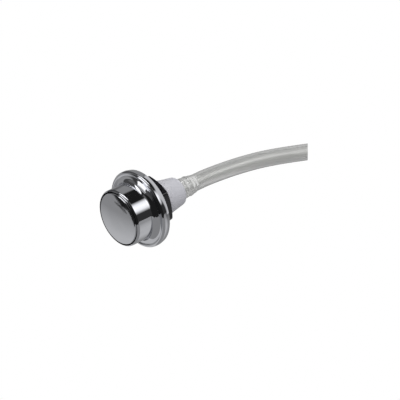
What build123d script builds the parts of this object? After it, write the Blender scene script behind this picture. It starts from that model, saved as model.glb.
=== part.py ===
from build123d import *
import os
from math import cos, pi, radians, sqrt, tan

# Pneumatic push button for a flushing cistern, in millimetres.
# The button's axis is Y: the button faces -Y, the air tube leaves towards +Y, and +Z is up.
# The origin is on the axis, in the plane of the flange's rear rim, which seats on the panel.
# A turned piece is drawn as points (radius, Y), so what stands in front of the panel has a
# negative Y. Lengths called "ahead" or "front" are measured forwards from the panel.

# White body: head with its sleeve, threaded shank, conical tail and barbed spigot
sleeve_wall = 1.1
sleeve_bead = 0.9
sleeve_bead_land = 0.4
head_thickness = 1.4
head_seat = 3.25
head_clearance = 0.5
thread_r = 10.95
thread_depth = 0.9
thread_end = 8.8
thread_runout = 0.6
shank_wall = 1.45
tail_taper = 2.5
tail_wall = 1.9
shoulder_rear = 23.7
shoulder_round = 2.1
rib_count = 4
rib_thickness = 1.2
rib_lip = 0.75
rib_front = 3.0
rib_root = 0.5
spigot_length = 11.0
spigot_root_rise = 0.9
first_barb_rise = 1.4
second_barb_rise = 1.3
barb_valley_rise = 0.8
first_barb_behind = 2.5
barb_spacing = 3.8
passage_r = 2.0

# Button cap, the carrier inside it, and the travel
travel = 5.0
stop_gap = 0.3
running_gap = 0.3
hook_height = 1.0
hook_catch = 0.3
hook_play = 0.1
hook_lead = 0.25
carrier_wall = 1.0
carrier_gap = 0.05
slit_count = 6
slit_width = 1.6
slit_root = 1.8
snap_ring_height = 0.2
snap_ring_half = 0.35
snap_ring_below = 0.9
cap_wall = 0.95
cap_thickness = 1.0
cap_dome = 0.65
cap_edge_round = 0.7
button_gap = 0.5

# Bezel: collar, flare, flange and the web that the head bears on
collar_wall = 0.7
collar_ahead = 16.0
rim_round = 1.6
flare_round = 3.4
bead_round = 1.2
bead_inset = 0.9
bead_ahead = 3.6
rim_land = 1.5
rim_taper = 0.45
rear_chamfer = 0.25
seat_width = 4.4
web_thickness = 1.7
shank_clearance = 0.1
key_count = 2
key_width = 3.0
key_reach = 1.2
key_clearance = 0.1

# Gasket and backnut
gasket_recess = 0.9
gasket_proud = 0.5
gasket_edge_gap = 0.2
nut_wall = 1.6
nut_rear = 8.3
nut_chamfer_angle = 25.0
nut_face_inset = 0.15
nut_corner_turn = 47.0
nut_corner_round = 0.6

# Bellows, its clamp ring, the return spring and the spring's cup
bellows_foot = 1.0
bellows_wall = 1.2
bellows_fold_depth = 2.3
bellows_folds = 3
bellows_end = 1.2
clamp_height = 1.4
clamp_width = 0.75
press_gap = 0.05
bellows_clearance = 0.3
wire = 0.9
wire_sides = 8
spring_turns = 6
cup_thickness = 1.0
cup_flange = 0.65
cup_side_gap = 0.4
cup_pilot = 2.0
cup_pilot_gap = 0.2

# Air tube: along the axis over the barbs, then a bend to +X with a little droop
tube_r = 4.5
tube_bore_r = 3.0
tube_start_gap = 0.4
barb_gap = 0.03
tube_lip = 0.25
tip_cover = 0.3
tube_straight = 10.3
tube_bends = [(2.4, 66.0, -0.3), (7.4, 86.4, -0.9)]
tube_end = (15.2, 104.8, -1.8)
arc_share = 0.45

# Radii: the head seats on the web round the shank's hole and the collar fits round the head
hole_r = thread_r + shank_clearance
head_r = hole_r + head_seat
bore_r = head_r + head_clearance
barrel_r = bore_r + collar_wall
crease_r = barrel_r + flare_round
bead_r = crease_r + bead_inset
flange_r = bead_r + bead_round
recess_r = flange_r - seat_width

# Radii from the collar's bore inwards: button, carrier, sleeve, bellows and spring
button_r = bore_r - button_gap
cap_bore_r = button_r - cap_wall
carrier_r = cap_bore_r - carrier_gap
carrier_bore_r = carrier_r - carrier_wall
sleeve_bead_r = carrier_bore_r - running_gap
hook_r = sleeve_bead_r - hook_catch
sleeve_r = hook_r - running_gap
sleeve_bore_r = sleeve_r - sleeve_wall
foot_r = sleeve_bore_r - press_gap
clamp_bore_r = foot_r - clamp_width
crest_r = clamp_bore_r - bellows_clearance
root_r = crest_r - bellows_fold_depth
inner_root_r = root_r - bellows_wall
cup_r = inner_root_r - cup_side_gap
spring_mean_r = cup_r - cup_flange - wire / 2
rib_inner_r = spring_mean_r - wire / 2 - rib_lip

# Radii of the tail, below the thread's root
tail_start_r = thread_r - thread_depth
tail_end_r = tail_start_r - tail_taper
shank_bore_r = tail_start_r - shank_wall
tail_bore_r = tail_end_r - tail_wall

# Places along the axis, from the panel forwards to the button's face
web_front = gasket_recess + web_thickness
head_front = web_front + head_thickness
hook_end = head_front + travel + stop_gap
hook_front = hook_end + hook_height
bead_rear = hook_front + hook_play
sleeve_front = bead_rear + sleeve_bead
cap_under = sleeve_front + travel + stop_gap
cap_edge = cap_under + cap_thickness
snap_ring_front = cap_under - snap_ring_below

os.makedirs("parts", exist_ok=True)

# Bezel: one chrome-plated piece, a collar with a rounded mouth that flares into the flange,
# whose rim tapers a little towards the panel
crease_ahead = bead_ahead + sqrt(bead_round**2 - bead_inset**2)
flare_ahead = crease_ahead + flare_round
taper_ahead = bead_ahead - rim_land
mouth_ahead = collar_ahead + sqrt(rim_round**2 - (rim_round - collar_wall) ** 2)
with BuildPart() as bezel:
    with BuildSketch():
        with BuildLine():
            TangentArc((flange_r, -bead_ahead), (crease_r, -crease_ahead), tangent=(0, -1))
            TangentArc((barrel_r, -flare_ahead), (crease_r, -crease_ahead), tangent=(0, 1))
            Line((barrel_r, -flare_ahead), (barrel_r, -collar_ahead))
            TangentArc((barrel_r, -collar_ahead), (bore_r, -mouth_ahead), tangent=(0, -1))
            Polyline(
                (bore_r, -mouth_ahead),
                (bore_r, -web_front),
                (hole_r, -web_front),
                (hole_r, -gasket_recess),
                (recess_r, -gasket_recess),
                (recess_r, 0),
                (flange_r - rim_taper - rear_chamfer, 0),
                (flange_r - rim_taper, -rear_chamfer),
                (flange_r, -taper_ahead),
                (flange_r, -bead_ahead),
            )
        make_face()
    revolve(axis=Axis.Y)
    # Notches in the web take the body's keys, so the nut can't turn the body in the bezel
    with BuildSketch(Plane.XZ.offset(gasket_recess)):
        with PolarLocations(hole_r, key_count):
            Rectangle(2 * (key_reach + key_clearance), key_width + 2 * key_clearance)
    extrude(amount=web_thickness, mode=Mode.SUBTRACT)
bezel.part.label = "bezel"
export_step(bezel.part, "parts/bezel.step")

# Actuator body: one white moulding, cored from the front, that ends in the barbed spigot
spigot_tip = shoulder_rear + spigot_length
first_barb = shoulder_rear + first_barb_behind
second_barb = first_barb + barb_spacing
spigot_root_r = tube_bore_r + spigot_root_rise
first_barb_r = tube_bore_r + first_barb_rise
second_barb_r = tube_bore_r + second_barb_rise
barb_valley_r = tube_bore_r + barb_valley_rise
tail_floor = shoulder_rear - tail_wall
with BuildPart() as actuator_body:
    with BuildSketch():
        with BuildLine():
            Polyline(
                (passage_r, spigot_tip),
                (tube_bore_r, spigot_tip),
                (second_barb_r, second_barb),
                (barb_valley_r, second_barb),
                (first_barb_r, first_barb),
                (spigot_root_r, first_barb),
                (spigot_root_r, shoulder_rear),
                (tail_end_r, shoulder_rear),
                (tail_start_r, thread_end),
                (thread_r, thread_end - thread_runout),
                (thread_r, -web_front),
                (head_r, -web_front),
                (head_r, -head_front),
                (sleeve_r, -head_front),
                (sleeve_r, -bead_rear),
                (sleeve_bead_r, -bead_rear),
                (sleeve_bead_r, -bead_rear - sleeve_bead_land),
                (sleeve_r, -sleeve_front),
                (sleeve_bore_r, -sleeve_front),
                (sleeve_bore_r, -head_front),
                (shank_bore_r, -head_front),
                (shank_bore_r, thread_end),
                (tail_bore_r, tail_floor),
                (passage_r, tail_floor),
                close=True,
            )
        make_face()
        shoulder = vertices().sort_by_distance((tail_end_r, shoulder_rear))[0]
        fillet(shoulder, radius=shoulder_round)
    revolve(axis=Axis.Y)
    # Ribs inside the shank and tail: the spring stands on their front ends
    for turn in range(rib_count):
        with BuildSketch(Plane.XY.rotated((0, turn * 360 / rib_count, 0))):
            with BuildLine():
                Polyline(
                    (rib_inner_r, rib_front),
                    (shank_bore_r + rib_root, rib_front),
                    (shank_bore_r + rib_root, thread_end),
                    (tail_bore_r + rib_root, tail_floor),
                    (tail_bore_r, tail_floor + rib_root),
                    (rib_inner_r, tail_floor + rib_root),
                    close=True,
                )
            make_face()
        extrude(amount=rib_thickness / 2, both=True)
    # Keys at the root of the shank
    with BuildSketch(Plane.XZ.offset(gasket_recess)):
        with PolarLocations(hole_r, key_count):
            Rectangle(2 * key_reach, key_width)
        Circle(shank_bore_r, mode=Mode.SUBTRACT)
    extrude(amount=web_thickness)
actuator_body.part.label = "actuator_body"
export_step(actuator_body.part, "parts/actuator_body.step")

# Panel gasket: flat rubber ring in the recess behind the flange, a little proud of it
with BuildPart() as panel_gasket:
    with BuildSketch(Plane.XZ.offset(-gasket_proud)):
        Circle(recess_r - gasket_edge_gap)
        Circle(hole_r, mode=Mode.SUBTRACT)
    extrude(amount=gasket_recess + gasket_proud)
panel_gasket.part.label = "panel_gasket"
export_step(panel_gasket.part, "parts/panel_gasket.step")

# Backnut: black hexagon with rounded corners turned off at both faces, wound up to the gasket
nut_flat_r = hole_r + nut_wall
nut_corner_r = nut_flat_r / cos(radians(30))
nut_face_r = nut_flat_r - nut_face_inset
nut_chamfer = (nut_corner_r - nut_face_r) * tan(radians(nut_chamfer_angle))
with BuildPart() as backnut:
    with BuildSketch(Plane.XZ.offset(-nut_rear)):
        RegularPolygon(radius=nut_corner_r, side_count=6, rotation=nut_corner_turn)
        fillet(vertices(), radius=nut_corner_round)
        Circle(hole_r, mode=Mode.SUBTRACT)
    extrude(amount=nut_rear - gasket_proud)
    with BuildSketch():
        with BuildLine():
            Polyline(
                (0, gasket_proud),
                (nut_face_r, gasket_proud),
                (nut_corner_r, gasket_proud + nut_chamfer),
                (nut_corner_r, nut_rear - nut_chamfer),
                (nut_face_r, nut_rear),
                (0, nut_rear),
                close=True,
            )
        make_face()
    revolve(axis=Axis.Y, mode=Mode.INTERSECT)
backnut.part.label = "backnut"
export_step(backnut.part, "parts/backnut.step")

# Button cap: thin chrome-plated shell with a shallow domed face and a rounded edge
with BuildPart() as button_cap:
    with BuildSketch():
        with BuildLine():
            TangentArc((0, -cap_edge - cap_dome), (button_r, -cap_edge), tangent=(1, 0))
            Polyline(
                (button_r, -cap_edge),
                (button_r, -hook_end),
                (cap_bore_r, -hook_end),
                (cap_bore_r, -snap_ring_front + 2 * snap_ring_half),
                (cap_bore_r + snap_ring_height, -snap_ring_front + snap_ring_half),
                (cap_bore_r, -snap_ring_front),
                (cap_bore_r, -cap_under),
                (0, -cap_under),
                (0, -cap_edge - cap_dome),
            )
        make_face()
        face_edge = vertices().sort_by_distance((button_r, -cap_edge))[0]
        fillet(face_edge, radius=cap_edge_round)
    revolve(axis=Axis.Y)
button_cap.part.label = "button_cap"
export_step(button_cap.part, "parts/button_cap.step")

# Button carrier: ring snapped into the cap, slit into fingers that hook behind the sleeve's bead
with BuildPart() as button_carrier:
    with BuildSketch():
        with BuildLine():
            Polyline(
                (carrier_bore_r, -cap_under),
                (carrier_r, -cap_under),
                (carrier_r, -snap_ring_front),
                (carrier_r + snap_ring_height, -snap_ring_front + snap_ring_half),
                (carrier_r, -snap_ring_front + 2 * snap_ring_half),
                (carrier_r, -hook_end),
                (hook_r + hook_lead, -hook_end),
                (hook_r, -hook_end - hook_lead),
                (hook_r, -hook_front),
                (carrier_bore_r, -hook_front),
                close=True,
            )
        make_face()
    revolve(axis=Axis.Y)
    with BuildSketch(Plane.XZ.offset(hook_end)):
        with PolarLocations(carrier_bore_r, slit_count):
            Rectangle(4 * carrier_wall, slit_width)
    extrude(amount=cap_under - slit_root - hook_end, mode=Mode.SUBTRACT)
button_carrier.part.label = "button_carrier"
export_step(button_carrier.part, "parts/button_carrier.step")

# Bellows: convoluted rubber, its foot on the head's ledge and its closed end under the cap
foot_front = head_front + bellows_foot
end_rear = cap_under - bellows_end
half_fold = (end_rear - foot_front) / (2 * bellows_folds)
fold_line = [
    (root_r if step % 2 == 0 else crest_r, -foot_front - step * half_fold)
    for step in range(2 * bellows_folds + 1)
]
inside_line = [(r - bellows_wall, y) for r, y in reversed(fold_line)]
with BuildPart() as bellows:
    with BuildSketch():
        with BuildLine():
            Polyline(
                (foot_r, -head_front),
                (foot_r, -foot_front),
                *fold_line,
                (root_r, -cap_under),
                (0, -cap_under),
                (0, -end_rear),
                *inside_line,
                (inner_root_r, -head_front),
                close=True,
            )
        make_face()
    revolve(axis=Axis.Y)
bellows.part.label = "bellows"
export_step(bellows.part, "parts/bellows.step")

# Clamp ring: pressed into the sleeve, it holds the bellows' foot down on the ledge
with BuildPart() as bellows_clamp_ring:
    with BuildSketch(Plane.XZ.offset(foot_front)):
        Circle(foot_r)
        Circle(clamp_bore_r, mode=Mode.SUBTRACT)
    extrude(amount=clamp_height)
bellows_clamp_ring.part.label = "bellows_clamp_ring"
export_step(bellows_clamp_ring.part, "parts/bellows_clamp_ring.step")

# Spring cup: flat seat under the bellows' closed end, with a pilot inside the spring
cup_rear = end_rear - cup_thickness
pilot_r = spring_mean_r - wire / 2 - cup_pilot_gap
with BuildPart() as spring_cup:
    with BuildSketch(Plane.XZ.offset(end_rear)):
        Circle(cup_r)
    extrude(amount=-cup_thickness)
    with BuildSketch(Plane.XZ.offset(cup_rear)):
        Circle(pilot_r)
    extrude(amount=-cup_pilot)
spring_cup.part.label = "spring_cup"
export_step(spring_cup.part, "parts/spring_cup.step")

# Return spring: wire coil with eight flats for a round, its ends ground flat on ribs and cup
spring_length = rib_front + cup_rear
with BuildPart() as return_spring:
    with BuildLine() as coil:
        Helix(
            pitch=spring_length / spring_turns,
            height=spring_length,
            radius=spring_mean_r,
            center=(0, rib_front, 0),
            direction=(0, -1, 0),
        )
    with BuildSketch(Plane(coil.line @ 0, z_dir=coil.line % 0)):
        RegularPolygon(radius=wire / 2, side_count=wire_sides)
    sweep(path=coil.line, is_frenet=True)
    with BuildSketch(Plane.XZ.offset(-rib_front)):
        Circle(spring_mean_r + wire)
    extrude(amount=spring_length, mode=Mode.INTERSECT)
return_spring.part.label = "return_spring"
export_step(return_spring.part, "parts/return_spring.step")

# Air tube: clear plastic, stretched over the barbs and hollow to its cut end
tube_start = shoulder_rear + tube_start_gap
stretch_end = spigot_tip + tip_cover
first_bend = (0, spigot_tip + tube_straight, 0)
route = [Vector(point) for point in [(0, tube_start, 0), first_bend, *tube_bends, tube_end]]
runs = [after - before for before, after in zip(route, route[1:])]
turns = [before.get_angle(after) for before, after in zip(runs, runs[1:])]
bend_radii = [
    arc_share * min(before.length, after.length) / tan(radians(turn / 2))
    for before, after, turn in zip(runs, runs[1:], turns)
]
stretched = [
    (spigot_root_r + tube_lip, tube_start),
    (first_barb_r + barb_gap, first_barb),
    (second_barb_r + barb_gap, second_barb),
    (tube_bore_r, stretch_end),
]
wall_area = tube_r**2 - tube_bore_r**2
outside = [(sqrt(r**2 + wall_area), y) for r, y in reversed(stretched)]
with BuildPart() as air_tube:
    with BuildSketch():
        with BuildLine():
            Polyline(*stretched, *outside, close=True)
        make_face()
    revolve(axis=Axis.Y)
    with BuildLine() as tube_path:
        FilletPolyline((0, stretch_end, 0), first_bend, *tube_bends, tube_end, radius=bend_radii)
    with BuildSketch(Plane.XZ.offset(-stretch_end)):
        Circle(tube_r)
        Circle(tube_bore_r, mode=Mode.SUBTRACT)
    sweep(path=tube_path.line)
air_tube.part.label = "air_tube"
export_step(air_tube.part, "parts/air_tube.step")

free_length = sum(edge.length for edge in tube_path.edges())
print("flange diameter", round(2 * flange_r, 2), "nut across flats", round(2 * nut_flat_r, 2))
print("tube bend radii", [round(radius, 1) for radius in bend_radii])
print("tube length", round(free_length + stretch_end - tube_start, 2))
print("free tube's section times its length", round(pi * wall_area * free_length, 1))
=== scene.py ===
from math import acos, asin, atan2, cos, degrees, radians, sin, sqrt, tan, tau

import bpy
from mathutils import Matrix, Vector


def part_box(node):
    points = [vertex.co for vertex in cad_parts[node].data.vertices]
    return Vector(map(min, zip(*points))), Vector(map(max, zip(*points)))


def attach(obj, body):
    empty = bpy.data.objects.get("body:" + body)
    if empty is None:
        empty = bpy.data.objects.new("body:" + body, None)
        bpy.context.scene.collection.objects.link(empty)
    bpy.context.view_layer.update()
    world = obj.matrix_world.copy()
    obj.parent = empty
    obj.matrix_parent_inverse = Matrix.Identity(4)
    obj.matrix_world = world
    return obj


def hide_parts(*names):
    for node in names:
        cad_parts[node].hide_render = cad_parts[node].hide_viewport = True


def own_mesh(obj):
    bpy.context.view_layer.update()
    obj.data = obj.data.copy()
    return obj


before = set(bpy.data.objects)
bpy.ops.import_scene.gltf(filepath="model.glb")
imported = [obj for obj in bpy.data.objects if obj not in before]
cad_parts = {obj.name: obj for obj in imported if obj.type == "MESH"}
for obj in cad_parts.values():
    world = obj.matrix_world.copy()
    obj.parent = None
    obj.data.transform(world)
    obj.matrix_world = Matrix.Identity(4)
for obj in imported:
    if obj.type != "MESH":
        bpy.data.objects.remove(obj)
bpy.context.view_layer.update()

# Bezel: the collar that the button slides in, with a flare and a flange that seats on the panel.
# It is turned from brass, polished and chrome-plated, so it mirrors the room with a faint ripple.
# Two notches in its web take the body's keys, and the nut behind the panel holds it.
mm = 0.001
noise_detail = 3.0
noise_low = 0.3
noise_high = 0.7


def arc(centre, radius, start, end, steps):
    """Points (radius, Y) along an arc, its ends given in degrees."""
    turns = [radians(start + (end - start) * step / steps) for step in range(steps + 1)]
    return [(centre[0] + radius * cos(turn), centre[1] + radius * sin(turn)) for turn in turns]


def turned(outline, sides):
    """Rings of points of a turned piece, one ring for each point (radius, Y) of its outline in mm."""
    angles = [tau * side / sides for side in range(sides)]
    return [[Vector((r * cos(angle), y, r * sin(angle))) * mm for angle in angles] for r, y in outline]


def skin(rings, closed):
    """Faces between rings of points; a closed skin joins its last ring to its first."""
    sides = len(rings[0])
    faces = []
    for ring in range(len(rings) if closed else len(rings) - 1):
        after = (ring + 1) % len(rings)
        for side in range(sides):
            beside = (side + 1) % sides
            corners = [(ring, side), (ring, beside), (after, beside), (after, side)]
            faces.append([row * sides + column for row, column in corners])
    if not closed:
        last = (len(rings) - 1) * sides
        faces.append(list(range(sides - 1, -1, -1)))
        faces.append(list(range(last, last + sides)))
    return faces


def new_piece(name, rings, closed, body, material, sharp):
    """A smooth mesh that rides on a body; edges that turn by more than the sharp angle stay crisp."""
    mesh = bpy.data.meshes.new(name)
    mesh.from_pydata([point for ring in rings for point in ring], [], skin(rings, closed))
    mesh.shade_smooth()
    mesh.set_sharp_from_angle(angle=radians(sharp))
    mesh.materials.append(material)
    piece = bpy.data.objects.new(name, mesh)
    bpy.context.scene.collection.objects.link(piece)
    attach(piece, body)
    return piece


def new_finish(name):
    """A material with its node tree and its shader."""
    material = bpy.data.materials.new(name)
    material.use_nodes = True
    tree = material.node_tree
    return material, tree, tree.nodes["Principled BSDF"]


def mottle(tree, socket, scale, low, high):
    """Vary a value over the surface, in soft patches of about 1 / scale metres."""
    place = tree.nodes.new("ShaderNodeTexCoord")
    noise = tree.nodes.new("ShaderNodeTexNoise")
    noise.inputs["Scale"].default_value = scale
    noise.inputs["Detail"].default_value = noise_detail
    spread = tree.nodes.new("ShaderNodeMapRange")
    spread.inputs["From Min"].default_value = noise_low
    spread.inputs["From Max"].default_value = noise_high
    spread.inputs["To Min"].default_value = low
    spread.inputs["To Max"].default_value = high
    tree.links.new(place.outputs["Object"], noise.inputs["Vector"])
    tree.links.new(noise.outputs["Fac"], spread.inputs["Value"])
    tree.links.new(spread.outputs["Result"], socket)


def tint(tree, shader, scale, dark, light):
    """Drift the base colour between two near tones, in patches of about 1 / scale metres."""
    tones = tree.nodes.new("ShaderNodeMix")
    tones.data_type = "RGBA"
    tones.inputs["A"].default_value = (*dark, 1)
    tones.inputs["B"].default_value = (*light, 1)
    mottle(tree, tones.inputs["Factor"], scale, low=0.0, high=1.0)
    tree.links.new(tones.outputs["Result"], shader.inputs["Base Color"])


def ripple(tree, shader, scale, height):
    """Fine unevenness of the surface, of a height in metres."""
    bump = tree.nodes.new("ShaderNodeBump")
    bump.inputs["Distance"].default_value = height
    mottle(tree, bump.inputs["Height"], scale, low=0.0, high=1.0)
    tree.links.new(bump.outputs["Normal"], shader.inputs["Normal"])


bezel_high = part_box("bezel")[1]
flange_r = bezel_high.x / mm
bore_r = 14.8
barrel_r = 15.5
recess_r = 16.6
hole_r = 11.05
notch_r = 12.35
notch_half = 1.6
web_front = -2.6
web_rear = -0.9
rear_chamfer = 0.25
rim_taper = 0.45
taper_start = -2.1
bead_at = -3.6
bead_round = 1.2
flare_round = 3.4
mouth_at = -16.0
mouth_round = 1.6
bead_steps = 40
flare_steps = 40
mouth_steps = 24
bezel_sides = 240
crease_r = barrel_r + flare_round
bead_r = flange_r - bead_round
bead_turn = 90 + degrees(asin((bead_r - crease_r) / bead_round))
flare_at = bead_at - bead_round * sin(radians(180 - bead_turn)) - flare_round
mouth_r = barrel_r - mouth_round
mouth_turn = degrees(acos((bore_r - mouth_r) / mouth_round))
bezel_outline = [
    (recess_r, 0.0),
    (flange_r - rim_taper - rear_chamfer, 0.0),
    (flange_r - rim_taper, -rear_chamfer),
    (flange_r, taper_start),
    *arc((bead_r, bead_at), bead_round, 0, -bead_turn, bead_steps),
    *arc((crease_r, flare_at), flare_round, 90, 180, flare_steps)[1:],
    *arc((mouth_r, mouth_at), mouth_round, 0, -mouth_turn, mouth_steps),
    (bore_r, web_front),
    (hole_r, web_front),
    (hole_r, web_rear),
    (recess_r, web_rear),
]
bezel_rings = turned(bezel_outline, bezel_sides)
# The hole's points next to the X axis move out to make the two notches
notch_columns = int(bezel_sides * asin(notch_half / hole_r) / tau)
for ring, (r, y) in zip(bezel_rings, bezel_outline):
    if r == hole_r:
        for middle, side in [(0, 1), (bezel_sides // 2, -1)]:
            for column in range(-notch_columns, notch_columns + 1):
                across = notch_half * column / notch_columns
                ring[middle + column] = Vector((side * notch_r, y, side * across)) * mm
chrome, tree, shader = new_finish("chrome_plate")
shader.inputs["Metallic"].default_value = 1.0
tint(tree, shader, scale=120, dark=(0.70, 0.71, 0.745), light=(0.74, 0.75, 0.785))
mottle(tree, shader.inputs["Roughness"], scale=300, low=0.03, high=0.07)
ripple(tree, shader, scale=400, height=1.5e-6)
bezel = new_piece(
    "bezel_plated",
    bezel_rings,
    closed=True,
    body="housing",
    material=chrome,
    sharp=25,
)
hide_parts("bezel")


# Actuator body: head, shank, conical tail and barbed spigot, moulded in one piece of white plastic.
# It goes into the bezel from the front, and its head bears on the bezel's web.
# The moulding is satin and slightly blue, with soft flow marks.
def dress(node, material):
    """Give a solid of the frame its finish."""
    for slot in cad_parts[node].material_slots:
        slot.link = "OBJECT"
        slot.material = material


white_plastic, tree, shader = new_finish("white_plastic")
tint(tree, shader, scale=160, dark=(0.74, 0.74, 0.80), light=(0.79, 0.79, 0.85))
mottle(tree, shader.inputs["Roughness"], scale=420, low=0.36, high=0.50)
ripple(tree, shader, scale=1800, height=3.0e-6)
dress("actuator_body", white_plastic)

# Thread run-out: the last fine turns of the shank's thread, which fade out along the tail's cone.
# They are moulded with the body, of the same plastic, and the nut passes over them.
runout_start = 9.35
runout_pitch = 1.3
runout_turns = 5
runout_height = 0.18
runout_half = 0.45
runout_top = 0.12
runout_root = 0.1
runout_rise = 4.0
runout_fade = 1.25
tail_front = 8.8
tail_rear = 23.7
tail_front_r = 10.05
tail_rear_r = 7.55
steps_per_turn = 96


def tail_r(y):
    """Radius of the tail's cone at a place along the axis."""
    return tail_front_r + (tail_rear_r - tail_front_r) * (y - tail_front) / (tail_rear - tail_front)


runout_rings = []
for step in range(runout_turns * steps_per_turn + 1):
    turn = step / steps_per_turn
    y = runout_start + runout_pitch * turn
    ridge = runout_height * min(1, runout_rise * turn, runout_fade * (1 - turn / runout_turns))
    section = [
        (tail_r(y - runout_half) - runout_root, y - runout_half),
        (tail_r(y) + ridge, y - runout_top),
        (tail_r(y) + ridge, y + runout_top),
        (tail_r(y + runout_half) - runout_root, y + runout_half),
    ]
    around = Vector((cos(tau * turn), 0, sin(tau * turn)))
    runout_rings.append([(around * r + Vector((0, at, 0))) * mm for r, at in section])
new_piece(
    "thread_runout",
    runout_rings,
    closed=False,
    body="housing",
    material=white_plastic,
    sharp=60,
)

# Panel gasket: a flat ring of black rubber in the recess behind the flange.
# It is punched from sheet, dull and slightly grained, and the panel squeezes it.
black_rubber, tree, shader = new_finish("black_rubber")
tint(tree, shader, scale=500, dark=(0.018, 0.018, 0.019), light=(0.034, 0.034, 0.035))
mottle(tree, shader.inputs["Roughness"], scale=900, low=0.62, high=0.82)
ripple(tree, shader, scale=3000, height=2.0e-5)
dress("panel_gasket", black_rubber)

# Backnut: a hexagon moulded in black plastic, wound up the shank against the gasket.
# Its corners are rounded and turned off at both faces, and it has a soft gloss with a fine grain.
nut_low, nut_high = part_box("backnut")
nut_front = nut_low.y / mm
nut_rear = nut_high.y / mm
nut_flat_r = 12.65
nut_face_r = 12.5
nut_corner_round = 1.5
nut_corner_turn = 47
nut_chamfer_angle = 25
nut_lead_r = 11.6
nut_lead = 0.5
nut_sides = 360
chamfer_steps = 14
corner_to_corner = 60
corner_to_flat = corner_to_corner / 2
nut_corner_r = nut_flat_r / cos(radians(corner_to_flat))
nut_chamfer = (nut_corner_r - nut_face_r) * tan(radians(nut_chamfer_angle))


def hexagon_r(turn):
    """Radius of the nut's rounded hexagon in a direction in degrees."""
    off_corner = abs((turn - nut_corner_turn + corner_to_flat) % corner_to_corner - corner_to_flat)
    half = radians(corner_to_flat)
    centre = (nut_flat_r - nut_corner_round) / cos(half)
    rounded = atan2(nut_corner_round * sin(half), centre + nut_corner_round * cos(half))
    if off_corner > degrees(rounded):
        return nut_flat_r / cos(radians(corner_to_flat - off_corner))
    aside = centre * sin(radians(off_corner))
    return centre * cos(radians(off_corner)) + sqrt(nut_corner_round**2 - aside**2)


chamfer_rows = [nut_chamfer * step / chamfer_steps for step in range(chamfer_steps + 1)]
nut_rows = [nut_front + row for row in chamfer_rows] + [nut_rear - row for row in reversed(chamfer_rows)]
nut_rings = []
for y in nut_rows:
    limit = nut_face_r + min(y - nut_front, nut_rear - y) / tan(radians(nut_chamfer_angle))
    ring = []
    for side in range(nut_sides):
        r = min(hexagon_r(360 * side / nut_sides), limit)
        ring.append(Vector((r * cos(tau * side / nut_sides), y, r * sin(tau * side / nut_sides))) * mm)
    nut_rings.append(ring)
nut_bore = [
    (nut_lead_r, nut_rear),
    (hole_r, nut_rear - nut_lead),
    (hole_r, nut_front + nut_lead),
    (nut_lead_r, nut_front),
]
nut_rings += turned(nut_bore, nut_sides)
black_plastic, tree, shader = new_finish("black_plastic")
shader.inputs["Specular IOR Level"].default_value = 0.9
tint(tree, shader, scale=300, dark=(0.007, 0.007, 0.010), light=(0.011, 0.011, 0.015))
mottle(tree, shader.inputs["Roughness"], scale=600, low=0.12, high=0.2)
ripple(tree, shader, scale=2500, height=3.0e-6)
backnut = new_piece(
    "backnut_moulded",
    nut_rings,
    closed=True,
    body="housing",
    material=black_plastic,
    sharp=22,
)
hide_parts("backnut")

# Bellows: the air pump, moulded in black rubber with rounded folds and one closed end under the cap.
# A clamp ring holds its foot on the head's ledge, and its folds close up as the button goes in.
bellows_low, bellows_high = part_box("bellows")
bellows_foot = bellows_high.y / mm
bellows_end = bellows_low.y / mm
foot_r = bellows_high.x / mm
foot_thickness = 1.0
end_thickness = 1.2
rubber_edge = 0.15
fold_mean_r = 8.05
fold_swing = 1.15
fold_count = 3
fold_wall = 1.1
fold_steps = 96
bellows_sides = 96
axis_r = 0.02
fold_start = bellows_foot - foot_thickness
fold_end = bellows_end + end_thickness
root_r = fold_mean_r - fold_swing
folds = []
for step in range(fold_steps + 1):
    share = step / fold_steps
    r = fold_mean_r - fold_swing * cos(tau * fold_count * share)
    folds.append((r, fold_start + (fold_end - fold_start) * share))
bellows_outline = [
    (root_r - fold_wall, bellows_foot),
    (foot_r - rubber_edge, bellows_foot),
    (foot_r, bellows_foot - rubber_edge),
    (foot_r, fold_start + rubber_edge),
    (foot_r - rubber_edge, fold_start),
    *folds,
    (root_r, bellows_end + rubber_edge),
    (root_r - rubber_edge, bellows_end),
    (axis_r, bellows_end),
    (axis_r, fold_end),
    *[(r - fold_wall, y) for r, y in reversed(folds)],
]
bellows = new_piece(
    "bellows_rubber",
    turned(bellows_outline, bellows_sides),
    closed=True,
    body="housing",
    material=black_rubber,
    sharp=50,
)
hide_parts("bellows")
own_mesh(bellows)

# Clamp ring, spring cup and button carrier: small inner pieces moulded in the body's white plastic.
# The ring is pressed into the sleeve, the cup lies between spring and bellows, and the carrier
# snaps into the cap.
for inner_moulding in ("bellows_clamp_ring", "spring_cup", "button_carrier"):
    dress(inner_moulding, white_plastic)

# Return spring: six turns of round steel wire, with both ends ground flat.
# It stands on the body's ribs inside the bellows, and shortens as the button goes in.
spring_low, spring_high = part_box("return_spring")
spring_front = spring_low.y / mm
spring_rear = spring_high.y / mm
spring_mean_r = 4.2
wire_r = 0.45
coil_turns = 6
wire_sides = 16
coil_steps = coil_turns * steps_per_turn
spring_rings = []
for step in range(coil_steps + 1):
    turn = tau * step / steps_per_turn
    y = spring_rear + (spring_front - spring_rear) * step / coil_steps
    ring = []
    for side in range(wire_sides):
        r = spring_mean_r + wire_r * cos(tau * side / wire_sides)
        level = y + wire_r * sin(tau * side / wire_sides)
        level = min(max(level, spring_front), spring_rear)
        ring.append(Vector((r * cos(turn), level, r * sin(turn))) * mm)
    spring_rings.append(ring)
spring_wire, tree, shader = new_finish("spring_wire")
shader.inputs["Metallic"].default_value = 1.0
tint(tree, shader, scale=900, dark=(0.50, 0.50, 0.52), light=(0.60, 0.60, 0.62))
mottle(tree, shader.inputs["Roughness"], scale=1500, low=0.22, high=0.36)
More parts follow.
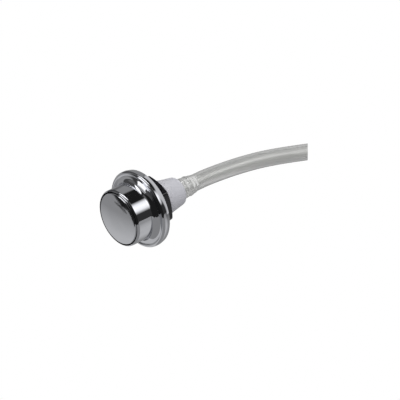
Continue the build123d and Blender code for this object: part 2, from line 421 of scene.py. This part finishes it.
spring = new_piece(
    "return_spring_wire",
    spring_rings,
    closed=False,
    body="housing",
    material=spring_wire,
    sharp=60,
)
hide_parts("return_spring")
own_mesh(spring)

# Button cap: a thin shell with a shallow domed face and a rounded edge, drawn from brass.
# It is chrome-plated as the bezel is, snaps over the carrier's ridge and slides in the collar; it is
# a touch smaller than its solid, so that the gap round it shows as dark as it does on the real piece.
cap_low, cap_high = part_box("button_cap")
cap_ease = 0.15
cap_r = cap_high.x / mm - cap_ease
cap_apex = cap_low.y / mm
skirt_end = cap_high.y / mm
cap_dome = 0.65
cap_edge_round = 0.7
cap_bore_r = 13.35
cap_under = -16.6
groove_depth = 0.2
groove_half = 0.35
groove_at = -15.35
skirt_edge = 0.2
dome_steps = 40
cap_edge_steps = 24
cap_sides = 240
dome_r = (cap_r**2 + cap_dome**2) / (2 * cap_dome)
edge_r = cap_r - cap_edge_round
edge_at = cap_apex + dome_r - sqrt((dome_r - cap_edge_round) ** 2 - edge_r**2)
edge_turn = degrees(acos(edge_r / (dome_r - cap_edge_round)))
dome_end_r = dome_r * cos(radians(edge_turn))
dome = []
for step in range(1, dome_steps):
    r = dome_end_r * step / dome_steps
    dome.append((r, cap_apex + dome_r - sqrt(dome_r**2 - r**2)))
cap_outline = [
    (axis_r, cap_apex),
    *dome,
    *arc((edge_r, edge_at), cap_edge_round, -edge_turn, 0, cap_edge_steps),
    (cap_r, skirt_end - skirt_edge),
    (cap_r - skirt_edge, skirt_end),
    (cap_bore_r, skirt_end),
    (cap_bore_r, groove_at + groove_half),
    (cap_bore_r + groove_depth, groove_at),
    (cap_bore_r, groove_at - groove_half),
    (cap_bore_r, cap_under),
    (axis_r, cap_under),
]
cap = new_piece(
    "button_cap_plated",
    turned(cap_outline, cap_sides),
    closed=True,
    body="button",
    material=chrome,
    sharp=30,
)
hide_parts("button_cap")

# Air tube: clear flexible plastic tube, 9 mm over a 6 mm bore, that leads the air to the flush valve.
# It is extruded, slightly milky, and pushed over the spigot, whose barbs stretch it and show through.
tube_route = [
    (0, 24.1, 0),
    (0, 35.0, 0),
    (0, 45.0, 0),
    (2.4, 66.0, -0.3),
    (7.4, 86.4, -0.9),
    (15.2, 104.8, -1.8),
]
tube_r = 4.5
tube_bore_r = 3.0
cut_back = 0.8
cut_across = Vector((0.70, 0.71, 0.04)).normalized()
tube_sides = 72
steps_per_span = 80
wall_area = tube_r**2 - tube_bore_r**2
# Bore along the tube from its mouth: stretched over two barbs with a dip between, then its own size
bore_along = [
    (0.0, 4.15),
    (2.1, 4.43),
    (4.6, 4.12),
    (5.9, 4.36),
    (8.3, 3.72),
    (10.6, 3.1),
    (12.0, tube_bore_r),
]


def eased(stations, at):
    """The value at a place between two stations, passing from one to the next in a soft curve."""
    for (start, first), (end, second) in zip(stations, stations[1:]):
        if at <= end:
            share = (at - start) / (end - start)
            return first + (second - first) * share * share * (3 - 2 * share)
    return stations[-1][1]


tube_curve = bpy.data.curves.new("air_tube_route", "CURVE")
tube_curve.dimensions = "3D"
tube_curve.resolution_u = steps_per_span
spline = tube_curve.splines.new("NURBS")
spline.points.add(len(tube_route) - 1)
for point, place in zip(spline.points, tube_route):
    point.co = (*(Vector(place) * mm), 1)
spline.order_u = 3
spline.use_endpoint_u = True
route_holder = bpy.data.objects.new("air_tube_route", tube_curve)
tube_line = [vertex.co.copy() for vertex in bpy.data.meshes.new_from_object(route_holder).vertices]
bpy.data.objects.remove(route_holder)

# The far end is cut a little askew: the cut crosses the tube's middle just short of the square end of
# the solid, and one side of it stands a little past that end
cut_at = tube_line[-1] - (tube_line[-1] - tube_line[-2]).normalized() * cut_back * mm
outer_rings = []
bore_rings = []
travelled = 0.0
turns = [tau * side / tube_sides for side in range(tube_sides)]
for index, centre in enumerate(tube_line):
    before = tube_line[max(index - 1, 0)]
    after = tube_line[min(index + 1, len(tube_line) - 1)]
    travelled += (centre - before).length / mm
    sideways = (after - before).cross(Vector((0, 0, 1))).normalized()
    upwards = sideways.cross(after - before).normalized()
    bore = eased(bore_along, travelled)
    outside = sqrt(bore**2 + wall_area)
    spokes = [sideways * cos(turn) + upwards * sin(turn) for turn in turns]
    outer_rings.append([centre + spoke * outside * mm for spoke in spokes])
    bore_rings.append([centre + spoke * bore * mm for spoke in spokes])
    if max(cut_across.dot(point - cut_at) for point in outer_rings[-1]) > 0:
        break
along = (after - before).normalized()
for ring in (outer_rings[-1], bore_rings[-1]):
    for side, point in enumerate(ring):
        ring[side] = point + along * cut_across.dot(cut_at - point) / cut_across.dot(along)
clear_tube, tree, shader = new_finish("clear_tube")
shader.inputs["Transmission Weight"].default_value = 0.5
shader.inputs["Coat Weight"].default_value = 0.8
shader.inputs["Coat Roughness"].default_value = 0.12
shader.inputs["Specular IOR Level"].default_value = 0.9
shader.inputs["IOR"].default_value = 1.48
tint(tree, shader, scale=90, dark=(0.94, 0.945, 0.925), light=(0.975, 0.98, 0.96))
mottle(tree, shader.inputs["Roughness"], scale=500, low=0.16, high=0.24)
air_tube = new_piece(
    "air_tube_clear",
    outer_rings + bore_rings[::-1],
    closed=True,
    body="housing",
    material=clear_tube,
    sharp=50,
)
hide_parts("air_tube")


# Table: the grey top below the object, which the chrome mirrors and the clear tube lets through.
# Its glow is painted light and shade: paler to the right, darker far to the left, a painted shadow in
# the strip that the object shades, a darker sheet of painted shade on the right and a thin darker strip
# near its front edge; its outlines are in metres.
def towards(azimuth, elevation):
    """Direction from the object, 0 degrees to its front and 90 to its right."""
    turn, rise = radians(azimuth), radians(elevation)
    return Vector((sin(turn) * cos(rise), -cos(turn) * cos(rise), sin(rise)))


def stage_card(name, points, brightness=1.0, faces=None):
    """A sheet of light that belongs to the studio; the camera doesn't see it."""
    material = bpy.data.materials.new(name)
    material.use_nodes = True
    tree = material.node_tree
    tree.nodes.remove(tree.nodes["Principled BSDF"])
    light = tree.nodes.new("ShaderNodeEmission")
    light.inputs["Strength"].default_value = brightness
    tree.links.new(light.outputs["Emission"], tree.nodes["Material Output"].inputs["Surface"])
    mesh = bpy.data.meshes.new(name)
    mesh.from_pydata(points, [], faces or [range(len(points))])
    mesh.materials.append(material)
    card = bpy.data.objects.new(name, mesh)
    bpy.context.scene.collection.objects.link(card)
    card.visible_camera = False
    return card


def shade_along(tree, direction, near, far, near_strength, far_strength):
    """A strength that changes from near to far along a direction on the table."""
    place = tree.nodes.new("ShaderNodeTexCoord")
    along = tree.nodes.new("ShaderNodeVectorMath")
    along.operation = "DOT_PRODUCT"
    along.inputs[1].default_value = direction
    spread = tree.nodes.new("ShaderNodeMapRange")
    spread.inputs["From Min"].default_value = near
    spread.inputs["From Max"].default_value = far
    spread.inputs["To Min"].default_value = near_strength
    spread.inputs["To Max"].default_value = far_strength
    tree.links.new(place.outputs["Object"], along.inputs[0])
    tree.links.new(along.outputs["Value"], spread.inputs["Value"])
    return spread.outputs["Result"]


table_height = -0.3
dark_sheet_height = -0.298
table_edge = [
    (4.0, 0.5), (0.97, -0.56), (0.49, -0.85), (0.22, -0.84), (0.0, -0.74), (-0.18, -0.5),
    (-0.285, -0.386), (-0.304, -0.407), (-0.333, -0.434), (-0.367, -0.452), (-0.397, -0.434),
    (-0.5, -0.44), (-0.62, -0.44), (-0.6, 0.0), (-0.8, 0.4), (-0.9, 1.5), (-0.9, 3.0), (4.0, 3.0),
]
# Outline of a darker sheet on the right of the table: painted shade where the table lies in shadow.
painted_shade_edge = [
    (-0.05, 0.1), (1.5, 0.72), (1.5, -0.9), (0.49, -0.85), (0.22, -0.84), (0.0, -0.74),
    (-0.16, -0.47), (-0.08, -0.2), (-0.05, -0.05),
]
# Outline of a thin darker strip near the table's front edge.
dark_strip_edge = [
    (-0.429, -0.395), (-0.397, -0.408), (-0.373, -0.411), (-0.349, -0.416), (-0.35, -0.424),
    (-0.376, -0.431), (-0.402, -0.428), (-0.417, -0.417), (-0.432, -0.402),
]
table = stage_card("table", [(x, y, table_height) for x, y in table_edge])
tree = table.active_material.node_tree
# Painted shadow and falloff: the glow dims in the strip behind the object that it shades, and with distance
# towards the front left and the rear right.
shades = [
    shade_along(tree, (-0.6, 0.8, 0.0), near=0.075, far=0.17, near_strength=0.56, far_strength=0.28),
    shade_along(tree, (-0.75, -0.66, 0.0), near=0.38, far=0.52, near_strength=1.0, far_strength=0.55),
    shade_along(tree, (0.8, 0.6, 0.0), near=0.45, far=1.3, near_strength=1.0, far_strength=0.62),
]
shade = shades[0]
for other_shade in shades[1:]:
    product = tree.nodes.new("ShaderNodeMath")
    product.operation = "MULTIPLY"
    tree.links.new(shade, product.inputs[0])
    tree.links.new(other_shade, product.inputs[1])
    shade = product.outputs["Value"]
tree.links.new(shade, tree.nodes["Emission"].inputs["Strength"])
# The darker sheet on the right is painted shade, a dim glow laid just above the table.
stage_card("table_painted_shade", [(x, y, dark_sheet_height) for x, y in painted_shade_edge], brightness=0.28)
# A thin darker strip, dimmer than the table, near its front edge.
stage_card("table_dark_strip", [(x, y, dark_sheet_height) for x, y in dark_strip_edge], brightness=0.07)

# Room: a dark studio with a tall light in front, one overhead, a small bright one behind and pale
# walls, all mirrored by the chrome. Each card has a name, a distance in metres, a brightness, a share
# of soft edge, and its corners by azimuth and elevation.
front_light_edge = [(-39, -14), (-38, 10), (-40, 36), (-9, 36), (-14, 22), (-20, 8), (-25, -3), (-33, -10)]
rear_light_edge = [(95, 38), (112, 30), (129, 27), (139, 36), (145, 47), (132, 55), (112, 57), (97, 52)]
room_cards = [
    ("front_light", 1.4, 1.5, 0.1, front_light_edge),
    ("front_light_middle", 1.41, 0.85, 0.1, [(-44, 33), (-3, 33), (0, 44), (-47, 44)]),
    ("front_light_top", 1.42, 0.5, 0.1, [(-47, 42), (0, 42), (4, 52), (-51, 52)]),
    ("front_gap", 1.7, 0.05, 0.1, [(-49, -20), (-38, -20), (-38, 36), (-49, 36)]),
    ("front_fade", 1.5, 0.08, 0.1, [(-20, 6), (-8, 36), (6, 50), (16, 50), (8, 10), (-10, 0)]),
    ("overhead_light", 1.4, 1.8, 0.1, [(-185, 63), (-140, 57), (-72, 47), (-68, 62), (-75, 80), (-185, 82)]),
    ("ceiling", 1.6, 0.33, 0.1, [(-70, 50), (8, 52), (20, 62), (-20, 78), (-80, 75)]),
    ("left_wall", 1.5, 0.33, 0.1, [(-122, -35), (-49, -35), (-49, 9), (-70, 9), (-95, 5), (-122, -6)]),
    ("left_wall_side", 1.3, 0.14, 0.2, [(-84, 10), (-50, 10), (-51, 44), (-72, 44)]),
    ("left_wall_top", 1.72, 0.07, 0.05, [(-121, -12), (-49, -12), (-50, 50), (-121, 50)]),
    ("left_corner", 1.74, 0.28, 0.1, [(-142, -35), (-122, -35), (-122, 45), (-142, 45)]),
    ("right_wall", 1.7, 0.15, 0.5, [(70, 45), (130, 45), (140, 70), (100, 80), (65, 70)]),
    ("right_corner", 1.75, 0.035, 0.1, [(100, -2), (139, -2), (139, 29), (100, 32)]),
    ("rear_light", 1.5, 1.7, 0.6, rear_light_edge),
    ("rear_wall", 1.7, 0.65, 0.1, [(140, -14), (216, -14), (216, 40), (140, 40)]),
]
for name, distance, brightness, softness, corners in room_cards:
    edge = [towards(*corner) * distance for corner in corners]
    middle = sum(edge, Vector()) / len(edge)
    inner_edge = [middle.lerp(corner, 1 - softness) for corner in edge]
    outer_edge = [middle.lerp(corner, 1 + softness) for corner in edge]
    count = len(edge)
    faces = [list(range(count))]
    for corner in range(count):
        after = (corner + 1) % count
        faces.append([corner, after, count + after, count + corner])
    card = stage_card(name, inner_edge + outer_edge, brightness, faces)
    glow = card.data.attributes.new("glow", "FLOAT", "POINT")
    glow.data.foreach_set("value", [1.0] * count + [0.0] * count)
    tree = card.active_material.node_tree
    share = tree.nodes.new("ShaderNodeAttribute")
    share.attribute_name = "glow"
    fade = tree.nodes.new("ShaderNodeMixShader")
    tree.links.new(share.outputs["Fac"], fade.inputs["Fac"])
    tree.links.new(tree.nodes.new("ShaderNodeBsdfTransparent").outputs["BSDF"], fade.inputs[1])
    tree.links.new(tree.nodes["Emission"].outputs["Emission"], fade.inputs[2])
    tree.links.new(fade.outputs["Shader"], tree.nodes["Material Output"].inputs["Surface"])
room_half = 4.0
room_corners = []
for x in (-room_half, room_half):
    for y in (-room_half, room_half):
        room_corners += [(x, y, -room_half), (x, y, room_half)]
room_sides = [(0, 1, 3, 2), (4, 6, 7, 5), (0, 4, 5, 1), (2, 3, 7, 6), (0, 2, 6, 4), (1, 5, 7, 3)]
stage_card("dark_room", room_corners, brightness=0.014, faces=room_sides)

# Fill: two large soft sheets above and to the right, for the plastics.
# The chrome doesn't mirror them. Each has a name, a distance, a brightness and its corners.
fill_cards = [
    ("top_fill", 2.0, 1.15, [(0, 45), (60, 45), (120, 45), (180, 45), (240, 60), (300, 60)]),
    ("right_fill", 2.2, 0.55, [(30, 0), (75, -5), (120, 0), (120, 44), (75, 44), (30, 44)]),
]
for name, distance, brightness, corners in fill_cards:
    fill = stage_card(name, [towards(*corner) * distance for corner in corners], brightness)
    fill.visible_glossy = False

# Floor and sky: the plain white studio floor and what lies beyond it.
# Only the camera sees them, so they neither light the object nor show in the chrome.
floor_drop = -1.0
floor_half = 15.0
floor_signs = [(-1, -1), (1, -1), (1, 1), (-1, 1)]
floor = stage_card("floor", [(x * floor_half, y * floor_half, floor_drop) for x, y in floor_signs])
floor.visible_camera = True
floor.visible_diffuse = False
floor.visible_glossy = False
floor.visible_transmission = False
floor.visible_shadow = False
sky = bpy.data.worlds.new("white_sky")
bpy.context.scene.world = sky
sky.use_nodes = True
sky.node_tree.nodes["Background"].inputs["Color"].default_value = (1, 1, 1, 1)
sky.cycles_visibility.diffuse = False
sky.cycles_visibility.glossy = False
sky.cycles_visibility.transmission = False
bpy.context.scene.view_settings.view_transform = "Standard"

# Camera: a long lens to the front right and above, as in the photograph.
# The picture's middle is beside the button, on the tube, so the camera is turned a little to it.
camera_azimuth = 49.0
camera_elevation = 33.0
camera_distance = 1.2
camera_reach = 50.0
sensor_width = 36.0
field_width = 206.9
middle_right = 29.05
middle_up = 3.49
camera_back = towards(camera_azimuth, camera_elevation)
camera_data = bpy.data.cameras.new("camera")
camera_data.sensor_width = sensor_width
camera_data.lens = sensor_width * camera_distance / (field_width * mm)
camera_data.clip_end = camera_reach
camera = bpy.data.objects.new("camera", camera_data)
bpy.context.scene.collection.objects.link(camera)
straight = (-camera_back).to_track_quat("-Z", "Y")
aim = straight @ Vector((middle_right * mm, middle_up * mm, -camera_distance))
camera.location = camera_back * camera_distance
camera.rotation_mode = "QUATERNION"
camera.rotation_quaternion = (-camera_back).rotation_difference(aim) @ straight
bpy.context.scene.camera = camera
